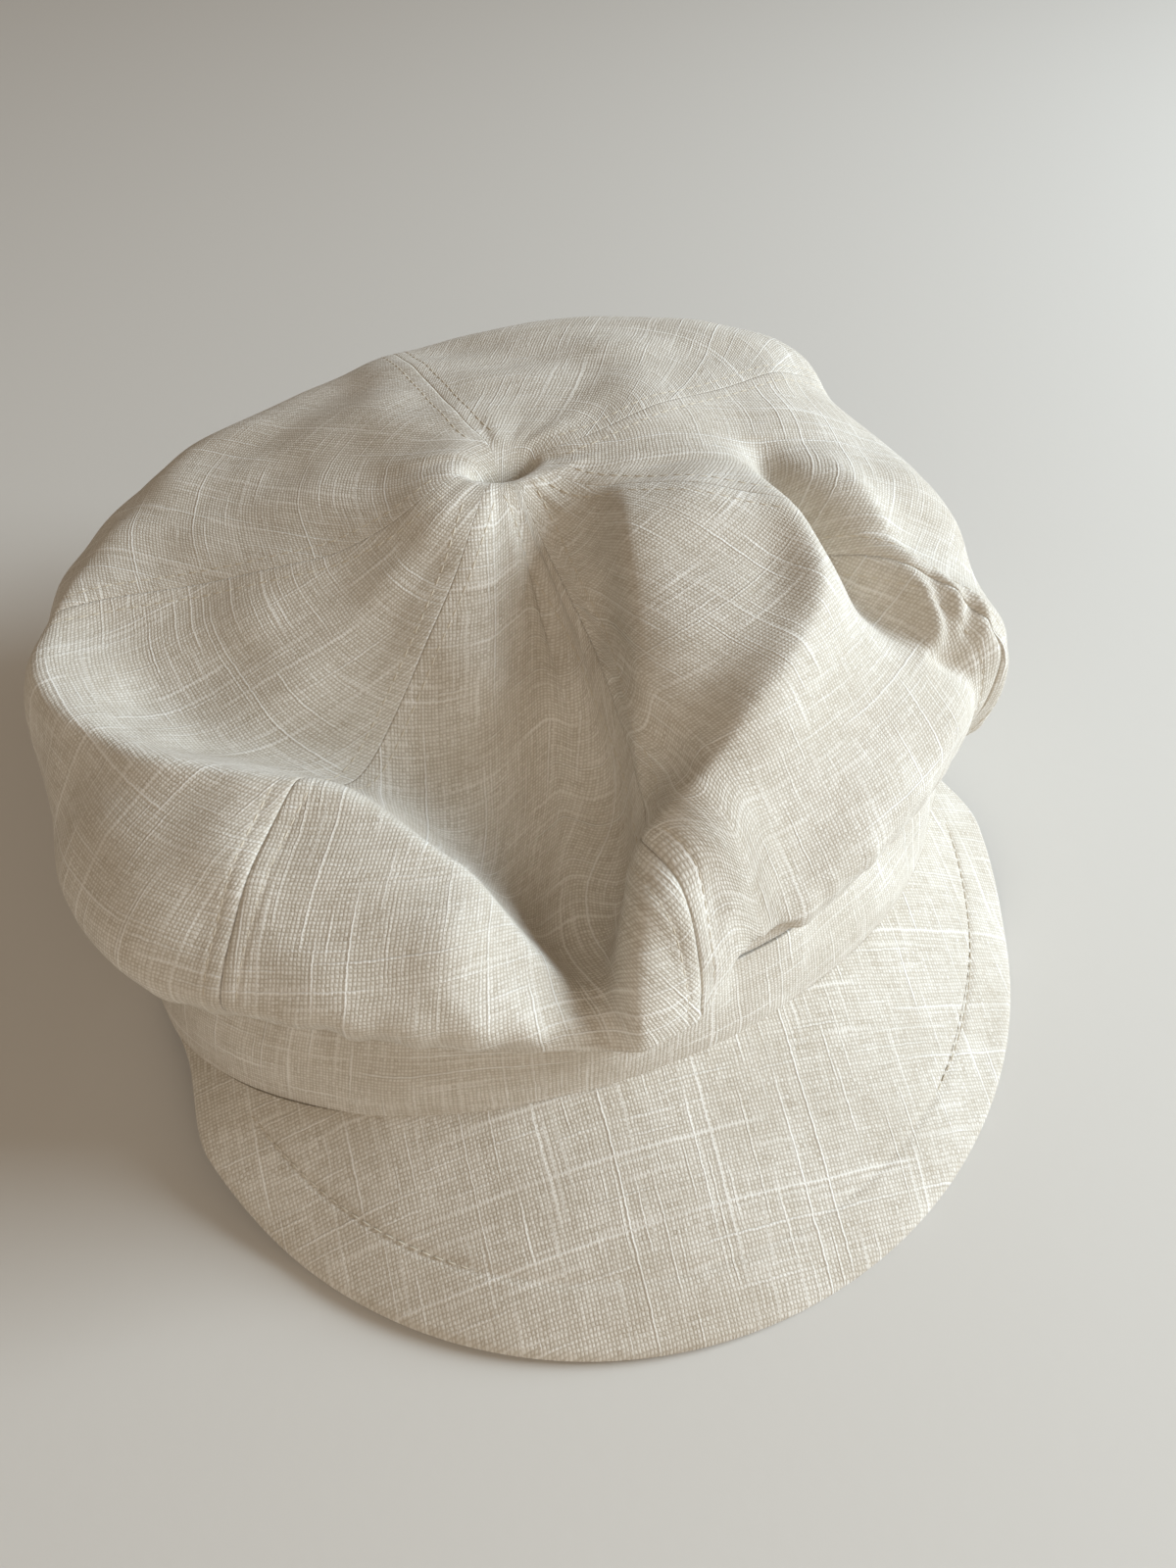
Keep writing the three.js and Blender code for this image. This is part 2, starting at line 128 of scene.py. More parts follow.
# The crown's panels and the seam that each starts at: its azimuth near the top, half way and at the
# band. grain turns the cloth's threads from the panel's middle line, in degrees.
CROWN_PANELS = {
    "left_back": (-180, -180, -174, 4),
    "left": (-86, -105, -96, -5),
    "left_front": (-44, -53, -49, 3),
    "right_front": (1, 0, -5, 4),
    "right": (48, 52, 47, -3),
    "right_back": (95, 99, 96, 2),
}

# Folds seen from above, in millimetres from the band's middle: each goes along its points of x, y
# and share of its depth. left and right are its half widths, and crisp how pointed it is.
FOLDS = {
    "front_ridge": (10, 11, 9, 1.5, (
        (64, 24, 0), (58, 4, 0.8), (50, -24, 1), (35, -37, 1), (20, -45, 0.95), (6, -54, 0.95),
        (-3, -62, 0.8), (-10, -70, 0.6), (-17, -78, 0.5), (-21, -86, 0.3))),
    "ridge_foot": (2.5, 7, 4.5, 1.4, (
        (6, -54, 0), (-4, -62, 0.6), (-11, -70, 1), (-18, -79, 1), (-21, -87, 0.4))),
    "front_valley": (-7, 15, 11, 1.7, (
        (8, 30, 0), (8, 20, 0.8), (3, 3, 1), (-6, -16, 1), (-13, -30, 0.95), (-17, -46, 0.8),
        (-21, -60, 0.5), (-25, -73, 0.3), (-27, -84, 0.1))),
    "inner_ridge": (7.5, 10, 6, 1.7, (
        (27, 18, 0), (21, 3, 0.9), (17, -13, 1), (12, -27, 0.9), (7, -42, 0))),
    "inner_flat": (5.5, 12, 12, 2.2, (
        (42, 18, 0), (38, 3, 0.9), (35, -11, 1), (27, -25, 0.8), (16, -40, 0))),
    "right_valley": (-11, 5.5, 6, 1.7, (
        (66, 24, 0), (62, 11, 0.8), (62, -5, 1), (65, -19, 0.8), (70, -31, 0.45), (77, -38, 0.1))),
    "right_ridge": (5, 7, 7, 1.6, (
        (77, 18, 0), (77, -4, 0.8), (77, -17, 1), (85, -28, 1), (97, -38, 0.4))),
    "right_corner": (2.5, 8, 8, 1.5, ((86, -26, 0), (98, -36, 1), (108, -44, 1))),
    "corner_pleat_upper": (2.6, 1.9, 1.9, 1.8, (
        (75, -21, 0), (78, -28, 1), (79, -35, 0.9), (78, -42, 0))),
    "corner_pleat_middle": (2.4, 1.8, 1.8, 1.8, ((82, -24, 0), (84, -31, 1), (83, -39, 0))),
    "corner_pleat_lower": (2.2, 1.7, 1.7, 1.8, ((88, -27, 0), (89, -34, 1), (87, -41, 0))),
    "corner_pit": (-3.0, 2.6, 2.6, 1.8, ((75, -39, 0), (82, -42, 1), (90, -46, 0))),
    "corner_edge": (2.2, 2.2, 2.2, 1.6, ((86, -36, 0), (93, -40, 1), (100, -46, 0))),
    "seam_crease": (-1.3, 2.0, 2.0, 1.6, ((72, -11, 0), (79, -16, 1), (88, -22, 0))),
    "foot_dent_upper": (-2.6, 6.0, 5.0, 2.0, ((-4, -59, 0), (1, -65, 1), (6, -71, 0))),
    "foot_dent_lower": (-1.8, 4.5, 4.5, 2.0, ((-11, -66, 0), (-8, -71, 1), (-5, -77, 0))),
    "wall_dent": (-2.6, 4.5, 4.5, 1.8, ((13, 2, 0), (8, -7, 1), (6, -15, 0))),
    "wall_crease_upper": (1.3, 1.8, 1.8, 1.6, ((9, -28, 0), (6, -36, 1), (3, -44, 0))),
    "wall_crease_lower": (1.1, 1.6, 1.6, 1.6, ((5, -31, 0), (2, -38, 1), (0, -46, 0))),
    "flank_ridge_left": (1.6, 8.0, 8.0, 2.0, ((-66, -10, 0), (-77, -22, 1), (-86, -34, 0))),
    "flank_ridge_front": (1.3, 8.0, 8.0, 2.0, ((-41, -44, 0), (-47, -56, 1), (-53, -70, 0))),
}

# Fineness of the draped face: samples round it and down it, and steps between a meridian's points
AZIMUTHS = 960
SHARES = 400
SEGMENT_STEPS = 40


def smooth(value, low, high):
    """Smooth step from 0 at low to 1 at high."""
    k = np.clip((value - low) / (high - low), 0, 1)
    return k * k * (3 - 2 * k)


def eased(value, rise, start, end, k):
    """Cubic from a value over a rise, with its slopes at the start and at the end."""
    return value + k * (start + k * (3 * rise - 2 * start - end + k * (start + end - 2 * rise)))


def around(rows, column, azimuth):
    """A column of an azimuth table at any azimuth, with a smooth turn round the whole cap."""
    place = np.concatenate([rows["azimuth"] + turn for turn in (-360, 0, 360)])
    value = np.tile(rows[column], 3)
    steps = np.diff(value) / np.diff(place)
    product = steps[:-1] * steps[1:]
    both = np.where(product > 0, steps[:-1] + steps[1:], 1)
    slope = np.concatenate([[0], np.where(product > 0, 2 * product / both, 0), [0]])
    first = rows["azimuth"][0]
    turned = (azimuth - first) % 360 + first
    at = np.clip(np.searchsorted(place, turned, side="right") - 1, 0, len(place) - 2)
    span = place[at + 1] - place[at]
    k = (turned - place[at]) / span
    return eased(value[at], value[at + 1] - value[at], slope[at] * span, slope[at + 1] * span, k)


def curve_points(points, steps=SEGMENT_STEPS):
    """Centripetal Catmull-Rom curve through points, worked out for many curves at once."""
    ends = [2 * points[:1] - points[1:2], points, 2 * points[-1:] - points[-2:-1]]
    p = np.concatenate(ends)
    gap = np.linalg.norm(np.diff(p, axis=0), axis=-1, keepdims=True) ** 0.5
    pieces = []
    k = (np.arange(steps) / steps).reshape((steps,) + (1,) * (p.ndim - 1))
    for i in range(1, len(p) - 2):
        a, b, c, d = p[i - 1:i + 3]
        ga, gb, gc = gap[i - 1:i + 2]
        start = ((b - a) / ga - (c - a) / (ga + gb) + (c - b) / gb) * gb
        end = ((c - b) / gb - (d - b) / (gb + gc) + (d - c) / gc) * gb
        pieces.append(eased(b, c - b, start, end, k))
    return np.concatenate(pieces + [points[-1:]])


def setting_names(settings):
    """Names of the settings that a group holds."""
    return [name for name in settings.bl_rna.properties.keys() if name not in ("rna_type", "name")]


LIFT_CURVE = 1.2


class Sizes:
    """The cap's sizes in millimetres, read from the scene's settings."""

    def __init__(self, settings):
        for name in setting_names(settings):
            setattr(self, name, getattr(settings, name) / MM)

    def band_bottom(self, y):
        """Height of the band's lower edge, which lies flat at the back and lifts to the front."""
        reach = self.flat_reach + self.band_half_length
        return self.front_lift * np.clip((self.flat_reach - y) / reach, 0, None) ** LIFT_CURVE

    def band_top(self, y):
        """Height of the band's upper edge."""
        return self.band_bottom(y) + self.band_height

    def band_lean(self, degrees):
        """How far the band's top leans in at an azimuth about the crown's top centre."""
        return around(BAND_LEANS, "lean", degrees) * self.band_height

    def crown_azimuth(self, x, y):
        """Azimuth of a place in plan about the crown's top centre, in degrees."""
        return np.degrees(np.arctan2(x - self.top_centre_x, self.top_centre_y - y))

    def band_radius(self, azimuth):
        """Distance from the crown's top centre to the band's outer face."""
        dx, dy = np.sin(azimuth), -np.cos(azimuth)
        w, l = self.band_half_width ** 2, self.band_half_length ** 2
        a = dx ** 2 / w + dy ** 2 / l
        b = 2 * (self.top_centre_x * dx / w + self.top_centre_y * dy / l)
        c = self.top_centre_x ** 2 / w + self.top_centre_y ** 2 / l - 1
        return (-b + np.sqrt(b * b - 4 * a * c)) / (2 * a)


# The dimple is a slit, longer sideways, with its rim and its well drawn to one side within a reach
DIMPLE_STRETCH = 1.65
DIMPLE_SHIFT = (2.0, 4.5)
DIMPLE_SHIFT_REACH = 26
DIMPLE_RIM_DROP = 3.5
WELL_SHIFT = (-1.2, -3.6)
WELL_SHIFT_REACH = 11
WELL_RADIUS = 0.02
NECK_RADIUS = 0.4
NECK_DEPTH = 0.4

# The crown's lip over the band
TUCK_DEPTH = 4
TUCK_RISE = 4
CLOTH_SETBACK = 0.5
SEAM_GAP = 0.3

# Which of a meridian's points is its crest
CREST_POINT = 5


def crown_meridians(size, degrees):
    """The crown's outer face at each azimuth and share of the way from the dimple to the band, with
    each meridian's length and the share at its crest."""
    azimuth = np.radians(degrees)
    seat = size.band_radius(azimuth)
    top = size.band_top(size.top_centre_y - np.cos(azimuth) * seat)
    bulge = seat + around(CROWN_SECTIONS, "over", degrees) * size.crown_overhang
    slit = 1 / np.hypot(np.sin(azimuth) / DIMPLE_STRETCH, np.cos(azimuth) * DIMPLE_STRETCH)

    def radius(column):
        return around(CROWN_SECTIONS, column, degrees) * bulge

    def height(column):
        return top + around(CROWN_SECTIONS, column, degrees) * (size.crown_top - top)

    rim = size.crown_top - DIMPLE_RIM_DROP + 0 * top
    inner = seat - size.band_lean(degrees)
    tuck = around(CROWN_TUCKS, "out", degrees) * TUCK_DEPTH
    lip = around(CROWN_TUCKS, "rise", degrees) * TUCK_RISE
    points = np.array([
        [WELL_RADIUS * size.dimple_radius * slit, rim - size.dimple_depth],
        [NECK_RADIUS * size.dimple_radius * slit, rim - NECK_DEPTH * size.dimple_depth],
        [size.dimple_radius * np.sqrt(slit), rim],
        [radius("mid_r"), height("mid")],
        [radius("trough_r"), height("trough")],
        [radius("crest_r"), height("crest")],
        [bulge, height("bulge")],
        [inner + tuck, top + lip],
        [inner - CLOTH_SETBACK, top + np.minimum(lip, SEAM_GAP)],
    ]).transpose(0, 2, 1)
    line = curve_points(points)
    length = np.concatenate([np.zeros((1, len(degrees))),
                             np.cumsum(np.linalg.norm(np.diff(line, axis=0), axis=-1), axis=0)])
    share = np.linspace(0, 1, SHARES)
    radial, upward = (
        np.array([np.interp(share * length[-1, i], length[:, i], line[:, i, k]) for i in range(len(degrees))])
        for k in (0, 1))
    crest = length[CREST_POINT * SEGMENT_STEPS] / length[-1]
    return radial, upward, length[-1], crest


# A fold's two widths blend over this many millimetres, and it ends at this many widths away
FOLD_BLEND = 6
FOLD_REACH = 3.2
PATH_STEPS = 8


def fold_rise(x, y, fold):
    """What one fold adds to the face at places seen from above."""
    depth, left, right, crisp, path = fold
    points = curve_points(np.array(path, float), PATH_STEPS)
    reach = FOLD_REACH * max(left, right)
    low, high = points[:, :2].min(0) - reach, points[:, :2].max(0) + reach
    near = (x > low[0]) & (x < high[0]) & (y > low[1]) & (y < high[1])
    px, py = x[near], y[near]
    best = np.full(px.shape, 1e9)
    height, side = np.zeros(px.shape), np.zeros(px.shape)
    for a, b in zip(points[:-1], points[1:]):
        vx, vy = b[0] - a[0], b[1] - a[1]
        span = math.hypot(vx, vy)
        share = np.clip(((px - a[0]) * vx + (py - a[1]) * vy) / span ** 2, 0, 1)
        dx, dy = px - a[0] - share * vx, py - a[1] - share * vy
        distance = np.hypot(dx, dy)
        closer = distance < best
        best = np.where(closer, distance, best)
        height = np.where(closer, a[2] + share * (b[2] - a[2]), height)
        side = np.where(closer, (vx * dy - vy * dx) / span, side)
    width = right + (left - right) * smooth(side, -FOLD_BLEND, FOLD_BLEND)
    rise = np.zeros(x.shape)
    rise[near] = depth * np.clip(height, 0, None) * np.exp(-((best / width) ** crisp))
    return rise


RIPPLE_WAVES = 14


def ripples(x, y, z, wave, seed):
    """Soft unevenness: many sine waves of about one wavelength in fixed, seeded directions."""
    rng = np.random.default_rng(seed)
    total = np.zeros(np.shape(x))
    for _ in range(RIPPLE_WAVES):
        direction = rng.normal(size=3)
        direction /= np.linalg.norm(direction)
        pitch = 2 * math.pi / (wave * rng.uniform(0.7, 1.5))
        phase = rng.uniform(0, 2 * math.pi)
        total += np.sin((x * direction[0] + y * direction[1] + z * direction[2]) * pitch + phase)
    return total / math.sqrt(RIPPLE_WAVES / 2)


# Gathers round the dimple: how many go round, their height and where they start. They begin at the
# rim, in shares of the dimple's radius, and die out between two distances from the centre.
GATHERS = ((7, 1.0, 1.0), (11, 0.8, 2.3), (16, 0.7, 0.7), (23, 0.4, 4.0))
GATHER_DEPTH = 0.1
GATHER_RIM = (0.5, 1.3)
GATHER_REACH = (14, 52)


def gathers(place, radial, size):
    """Radial puckers where the cloth is drawn into the dimple."""
    waves = sum(height * np.sin(count * place + start) for count, height, start in GATHERS)
    near = smooth(radial / size.dimple_radius, *GATHER_RIM)
    return GATHER_DEPTH * waves * near * (1 - smooth(radial, *GATHER_REACH)) ** 1.5


# Puckers at the crown's foot: their depth, where they are deepest down a meridian and how far they
# spread there, how full they are all round and how much more so about an azimuth at the front left
PUCKER_DEPTH = 0.38
PUCKER_SHARE, PUCKER_SPREAD = 0.94, 0.05
LEAST_FULL, MORE_FULL = 0.45, 1.1
FULL_AZIMUTH, FULL_SPREAD = -47, 11


def foot_puckers(x, y, degrees, share):
    """Short puckers where the crown is sewn to the band, fuller at the front left."""
    fullness = LEAST_FULL + MORE_FULL * np.exp(-(((degrees - FULL_AZIMUTH) / FULL_SPREAD) ** 2))
    waves = np.sin(0.61 * x + 0.3) + np.sin(0.47 * y - 0.41 * x + 2.0) + 0.6 * np.sin(0.9 * x + 0.8 * y)
    return PUCKER_DEPTH * fullness * waves * np.exp(-(((share - PUCKER_SHARE) / PUCKER_SPREAD) ** 2))


def face_normals(points):
    """Outward unit normals of a face that closes on itself along its first axis."""
    along = np.gradient(points, axis=1)
    across = np.roll(points, -1, axis=0) - np.roll(points, 1, axis=0)
    normal = np.cross(along, across)
    return normal / np.maximum(np.linalg.norm(normal, axis=-1, keepdims=True), 1e-9)


# The folded edge along the crest, and the thin roll of the seam over the band
CREST_EDGE, CREST_WIDTH, CREST_ROUNDING = 2.0, 4.5, 1.4
LIP_ROLL, LIP_INSET, LIP_WIDTH = 1.1, 4.2, 1.1

# Softness of the whole cloth: height, wavelength and seed
CLOTH_RIPPLES = ((0.6, 48, 5), (0.22, 17, 8))

# Where the folds fade: the last share of a meridian, and shares of the dimple's radius
LIP_FADE = 0.07
DIMPLE_FADE = (0.6, 1.6)


class Crown:
    """The crown's draped outer face, sampled all the way round, in millimetres."""

    def __init__(self, size):
        self.size = size
        degrees = np.arange(AZIMUTHS) * 360 / AZIMUTHS - 180
        radial, upward, length, crest = crown_meridians(size, degrees)
        place = np.radians(degrees)[:, None]
        shift = 1 - smooth(radial, 0, DIMPLE_SHIFT_REACH)
        well = 1 - smooth(radial, 0, WELL_SHIFT_REACH)
        x = size.top_centre_x + radial * np.sin(place) + DIMPLE_SHIFT[0] * shift + WELL_SHIFT[0] * well
        y = size.top_centre_y - radial * np.cos(place) + DIMPLE_SHIFT[1] * shift + WELL_SHIFT[1] * well
        points = np.stack([x, y, upward], -1)
        share = np.linspace(0, 1, SHARES)[None, :]
        fade = smooth(1 - share, 0, LIP_FADE) * smooth(radial / size.dimple_radius, *DIMPLE_FADE)
        rise = sum(fold_rise(x, y, fold) for fold in FOLDS.values())
        off_crest = (share - crest[:, None]) * length[:, None]
        rise = rise + CREST_EDGE * around(EDGE_CRISPNESS, "crisp", degrees)[:, None] * np.exp(
            -(np.abs(off_crest) / CREST_WIDTH) ** CREST_ROUNDING)
        rise = rise + gathers(place, radial, size) + foot_puckers(x, y, degrees[:, None], share)
        for height, wave, seed in CLOTH_RIPPLES:
            rise = rise + height * ripples(x, y, upward, wave, seed)
        roll = LIP_ROLL * around(LIP_FULLNESS, "full", degrees)[:, None] * np.exp(
            -(((1 - share) * length[:, None] - LIP_INSET) / LIP_WIDTH) ** 2)
        points = points + face_normals(points) * (rise * fade + roll)[..., None]
        self.points = points
        self.normals = face_normals(points)
        self.radial = radial

    def at(self, grid, azimuth, share):
        """A grid's values at azimuths in degrees and shares, between its samples."""
        i = (azimuth + 180) / 360 * AZIMUTHS
        j = np.clip(share, 0, 1) * (SHARES - 1)
        i0, j0 = np.floor(i).astype(int), np.minimum(np.floor(j).astype(int), SHARES - 2)
        u, v = (i - i0)[..., None], (j - j0)[..., None]
        g = grid if grid.ndim == 3 else grid[..., None]
        a, b = i0 % AZIMUTHS, (i0 + 1) % AZIMUTHS
        low = g[a, j0] * (1 - u) + g[b, j0] * u
        high = g[a, j0 + 1] * (1 - u) + g[b, j0 + 1] * u
        return low * (1 - v) + high * v


SEAM_MIDDLE = 0.55


def seam_azimuth(panel, share):
    """Azimuth of the seam that a panel starts at."""
    top, middle, foot, _ = CROWN_PANELS[panel]
    upper = top + (middle - top) * smooth(share, 0, SEAM_MIDDLE)
    return upper + (foot - upper) * smooth(share, SEAM_MIDDLE, 1)


# Fineness of a panel, with closer columns within the seams' edges
PANEL_COLUMNS = 116
PANEL_ROWS = 210
EDGE_COLUMNS = 14
EDGE_SHARE_MOST = 0.22

# A pressed seam with a row of topstitching either side. It shows less on the crown's top, between
# these radii and shares of the way down, and ends just before the band.
SEAM_EDGE = 5.5
WELT_HEIGHT = 0.16
SEAM_GROOVE = 0.36
GROOVE_WIDTH = 0.38
STITCH_INSET = 3.3
STITCH_SINK = 0.22
STITCH_DIP_WIDTH = 0.55
SEAM_ON_TOP = 0.26
SEAM_RADII = (8, 36)
SEAM_SHARES = (0.45, 0.75)
SEAM_END = 0.97

# Each piece is cut from its own place on the cloth, in millimetres. Rows of a panel's threads are
# eased over their neighbours, so that they run straight past small folds.
UV_UNIT = 100
CLOTH_EASE = 16
PANEL_CLOTH_STEP = 190
BAND_CLOTH_PLACE = 600
VISOR_CLOTH_PLACE = 500


def panel_bounds(name, share):
    """The azimuths of a panel's two seams at each share."""
    names = list(CROWN_PANELS)
    index = names.index(name)
    start = seam_azimuth(name, share)
    end = seam_azimuth(names[(index + 1) % len(names)], share)
    return start, end + (360 if index + 1 == len(names) else 0)


def seam_relief(distance):
    """Height of the pressed seam: a low welt either side, a groove on the seam, dips at the stitching."""
    welt = WELT_HEIGHT * (1 - smooth(distance, STITCH_INSET, SEAM_EDGE))
    groove = SEAM_GROOVE * np.exp(-((distance / GROOVE_WIDTH) ** 1.4))
    dip = STITCH_SINK * np.exp(-(((distance - STITCH_INSET) / STITCH_DIP_WIDTH) ** 2))
    return welt - groove - dip


def seam_strength(radius, share):
    """How strongly a seam shows: pulled flat on the top and round the dimple, full on the sides."""
    return smooth(radius, *SEAM_RADII) * (SEAM_ON_TOP + (1 - SEAM_ON_TOP) * smooth(share, *SEAM_SHARES))


def mesh_from(bm, name):
    """A mesh made from a bmesh, which is freed."""
    mesh = bpy.data.meshes.new(name)
    bm.to_mesh(mesh)
    bm.free()
    return mesh


def put_in_scene(name, data):
    """An object for a mesh, lamp or camera, linked to the scene."""
    thing = bpy.data.objects.new(name, data)
    bpy.context.scene.collection.objects.link(thing)
    return thing


def grid_object(name, columns, rows, place):
    """A piece made from a flat grid, with its vertices moved to place(u, v) and its own cloth UV map."""
    bm = bmesh.new()
    bmesh.ops.create_grid(bm, x_segments=columns, y_segments=rows, size=0.5)
    bmesh.ops.reverse_faces(bm, faces=bm.faces)
    mesh = mesh_from(bm, name)
    flat = np.empty(len(mesh.vertices) * 3)
    mesh.vertices.foreach_get("co", flat)
    flat = flat.reshape(-1, 3) + 0.5
    points, cloth = place(flat[:, 0], flat[:, 1])
    mesh.vertices.foreach_set("co", (points * MM + np.array(BAND_MIDDLE)).ravel())
    set_cloth_map(mesh, cloth)
    return finish_mesh(name, mesh)


def set_cloth_map(mesh, cloth):
    """Writes the cloth's own lengthwise and crosswise places, in UV_UNIT millimetres, as the UV map."""
    corner = np.empty(len(mesh.loops), int)
    mesh.loops.foreach_get("vertex_index", corner)
    layer = mesh.uv_layers.new(name="cloth")
    layer.data.foreach_set("uv", (cloth[corner] / UV_UNIT).ravel())


def finish_mesh(name, mesh):
    """Puts a mesh in the scene as a smooth piece that rides on the cap."""
    mesh.shade_smooth()
    mesh.update()
    piece = put_in_scene(name, mesh)
    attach(piece, BODY)
    return piece


def panel_place(crown, name):
    """A function that lays one crown panel's flat grid on the draped face."""
    def place(u, v):
        start, end = panel_bounds(name, v)
        radius = crown.at(crown.radial, (start + end) / 2, v)[..., 0]
        width = np.radians(end - start) * np.maximum(radius, 0.5)
        column = u * PANEL_COLUMNS
        edge = np.minimum(SEAM_EDGE, EDGE_SHARE_MOST * width)
        middle = (width - 2 * edge) / (PANEL_COLUMNS - 2 * EDGE_COLUMNS)
        from_start = np.where(
            column <= EDGE_COLUMNS, edge * column / EDGE_COLUMNS,
            np.where(column >= PANEL_COLUMNS - EDGE_COLUMNS,
                     width - edge * (PANEL_COLUMNS - column) / EDGE_COLUMNS,
                     edge + middle * (column - EDGE_COLUMNS)))
        azimuth = start + (end - start) * from_start / width
        points = crown.at(crown.points, azimuth, v)
        normal = crown.at(crown.normals, azimuth, v)
        normal /= np.linalg.norm(normal, axis=-1, keepdims=True)
        distance = np.minimum(from_start, width - from_start)
        relief = seam_relief(distance) * seam_strength(radius, v) * (1 - smooth(v, SEAM_END, 1))
        cloth = cloth_lengths(u, v, points)
        points = points + normal * relief[..., None]
        cloth = turn_cloth(cloth, CROWN_PANELS[name][3])
        return points, cloth + PANEL_CLOTH_STEP * list(CROWN_PANELS).index(name)

    return place


def turn_cloth(cloth, degrees):
    """Places on the cloth, turned by the grain's angle."""
    across, along = cloth[:, 0], cloth[:, 1]
    cos, sin = math.cos(math.radians(degrees)), math.sin(math.radians(degrees))
    return np.stack([across * cos - along * sin, across * sin + along * cos], -1)


def cloth_lengths(u, v, points):
    """Places on a panel's cloth when it lies flat: across from its middle line, and along that line."""
    column = np.rint(u * PANEL_COLUMNS).astype(int)
    row = np.rint(v * PANEL_ROWS).astype(int)
    lattice = np.empty((PANEL_ROWS + 1, PANEL_COLUMNS + 1, 3))
    lattice[row, column] = points
    steps = np.linalg.norm(np.diff(lattice, axis=1), axis=-1)
    padded = np.pad(steps, ((CLOTH_EASE, CLOTH_EASE), (0, 0)), mode="edge")
    eased = sum(padded[i:i + PANEL_ROWS + 1] for i in range(2 * CLOTH_EASE + 1)) / (2 * CLOTH_EASE + 1)
    across = np.concatenate([np.zeros((PANEL_ROWS + 1, 1)), np.cumsum(eased, axis=1)], axis=1)
    across -= across[:, PANEL_COLUMNS // 2:PANEL_COLUMNS // 2 + 1]
    falls = np.linalg.norm(np.diff(lattice[:, PANEL_COLUMNS // 2], axis=0), axis=-1)
    along = np.concatenate([[0], np.cumsum(falls)])
    return np.stack([across[row, column], along[row]], -1)


def thicken(piece, wall):
    """Gives a sheet its wall, inwards from the face that shows."""
    solid = piece.modifiers.new("wall", "SOLIDIFY")
    solid.thickness = wall * MM
    solid.offset = -1


# Slub linen

def linear(code):
    """A colour written as sRGB hex, as the linear values that a shader takes."""
    parts = [int(code[i:i + 2], 16) / 255 for i in (1, 3, 5)]
    return tuple(c / 12.92 if c <= 0.04045 else ((c + 0.055) / 1.055) ** 2.4 for c in parts) + (1.0,)


def add(tree, kind, values=(), **settings):
    """Adds a shader node with its settings. values fill its inputs, by number or name, or link to them."""
    node = tree.nodes.new("ShaderNode" + kind)
    for name, value in settings.items():
        setattr(node, name, value)
    for key, value in values.items() if isinstance(values, dict) else enumerate(values):
        if isinstance(value, bpy.types.Node):
            value = value.outputs[0]
        if isinstance(value, bpy.types.NodeSocket):
            tree.links.new(value, node.inputs[key])
        else:
            node.inputs[key].default_value = value
    return node


def new_material(name):
    """An empty node material."""
    material = bpy.data.materials.new(name)
    material.use_nodes = True
    material.node_tree.nodes.clear()
    return material, material.node_tree


# Spacing of the threads in millimetres. It is about 0.65 in the real linen, and is drawn a little
# coarser so that the weave shows. TONE_LENGTH is how far a thread keeps its tone.
THREAD_PITCH = 0.8
TONE_LENGTH = 9.0

# How the cloth is pulled out of true and its threads wander: noise scale, detail and millimetres
CLOTH_WANDER = ((0.03, 3.0, 1.8), (0.5, 1.0, 0.35))

# Families of slubs: space between threads that may swell, length and half width in millimetres,
# how rare a swelling is, how pale it is, and the seed of its random places
SLUBS = (
    (5.4, 46.0, 0.42, 0.50, 0.75, 40.0),
    (2.6, 24.0, 0.34, 0.52, 0.50, 90.0),
)
SLUB_FADE = 0.14


def slub_lines(tree, across, along, spacing, length, width, rarity, seed):
    """Mask of thick uneven threads: single threads, unevenly spaced, that swell for a stretch and fade."""
    place = add(tree, "Math", (across, spacing), operation="DIVIDE")
    index = add(tree, "Math", (add(tree, "Math", (place,), operation="FLOOR"), seed), operation="ADD")
    chance = add(tree, "TexWhiteNoise", {"W": index}, noise_dimensions="1D").outputs["Value"]
    middle = add(tree, "Math", (chance, 0.7, 0.15), operation="MULTIPLY_ADD")
    off = add(tree, "Math", (add(tree, "Math", (place,), operation="FRACT"), middle), operation="SUBTRACT")
    away = add(tree, "Math", (off,), operation="ABSOLUTE")
    line = add(tree, "MapRange", (away, 0.0, width / spacing, 1.0, 0.0), interpolation_type="SMOOTHSTEP")
    spread = add(tree, "Math", (index, 7.31), operation="MULTIPLY")
    where = add(tree, "CombineXYZ", (spread, add(tree, "Math", (along, length), operation="DIVIDE")))
    noise = add(tree, "TexNoise", {"Vector": where, "Scale": 1.0, "Detail": 1.5, "Roughness": 0.6},
                noise_dimensions="2D")
    swell = add(tree, "MapRange", (noise, rarity, rarity + SLUB_FADE, 0.0, 1.0),
                interpolation_type="SMOOTHSTEP")
    return add(tree, "Math", (line, swell), operation="MULTIPLY")


def thread_tones(tree, across, along, seed):
    """How light each thread is: its own value, changing slowly along it."""
    place = add(tree, "Math", (across, THREAD_PITCH), operation="DIVIDE")
    index = add(tree, "Math", (add(tree, "Math", (place,), operation="FLOOR"), seed), operation="ADD")
    spread = add(tree, "Math", (index, 5.17), operation="MULTIPLY")
    run = add(tree, "Math", (along, TONE_LENGTH), operation="DIVIDE")
    where = add(tree, "CombineXYZ", (spread, run))
    return add(tree, "TexNoise", {"Vector": where, "Scale": 1.0, "Detail": 3.0, "Roughness": 0.6},
               noise_dimensions="2D")


